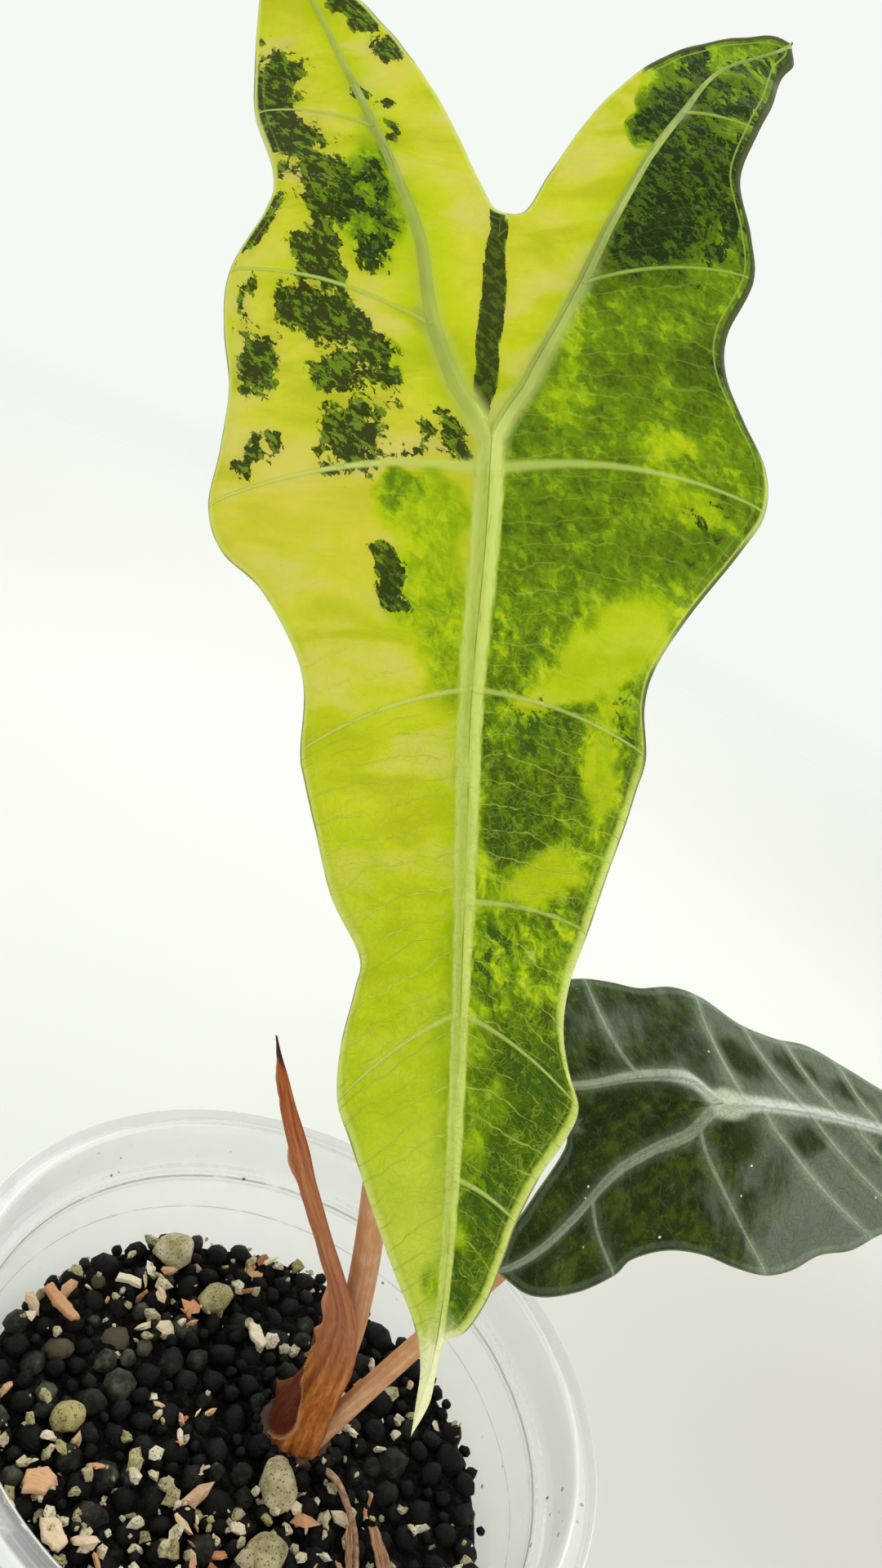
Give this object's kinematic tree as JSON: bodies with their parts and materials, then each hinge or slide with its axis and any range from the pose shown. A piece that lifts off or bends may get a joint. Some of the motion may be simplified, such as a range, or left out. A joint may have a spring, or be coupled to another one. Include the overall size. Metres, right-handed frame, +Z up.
{
  "type": "potted kris plant",
  "caption": "Young variegated kris plant with a tall leaf and a low dark leaf on stalks, standing in a clear plastic cup filled with loose dark pellets.",
  "frame": {"origin": "centre of the cup's flat underside", "axes": "+Z up, +X to the right and +Y away as seen in the picture, where the tall leaf faces -Y"},
  "size_m": [0.2252, 0.1235, 0.2963],
  "materials": {
    "clear_plastic": "thin clear plastic, slightly milky, glossy rim",
    "fill": "rough round porous pellets",
    "pumice": "rough porous stone",
    "bark": "dry broken bark",
    "blade_variegated": "satin leaf, yellow and green",
    "blade_dark": "satin dark green leaf with grey sheen",
    "stalk": "smooth pinkish tan stalk",
    "dry_sheath": "dry papery sheath",
    "root": "brown root"
  },
  "bodies": {
    "root": {"pot": "clear_plastic", "growing_medium": "fill", "rhizome": "root", "petiole_tall": "stalk", "petiole_low": "stalk", "blade_tall": "blade_variegated", "blade_low": "blade_dark", "cataphyll": "dry_sheath", "surface_root": "root", "pumice_stone_1": "pumice", "pumice_stone_2": "pumice", "pumice_stone_3": "pumice", "pumice_stone_4": "pumice", "pumice_stone_5": "pumice", "pumice_stone_6": "pumice", "bark_chip_1": "bark", "bark_chip_2": "bark", "bark_chip_3": "bark", "bark_chip_4": "bark", "bark_chip_5": "bark", "dry_sheath_1": "dry_sheath", "dry_sheath_2": "dry_sheath"}
  },
  "joints": []
}
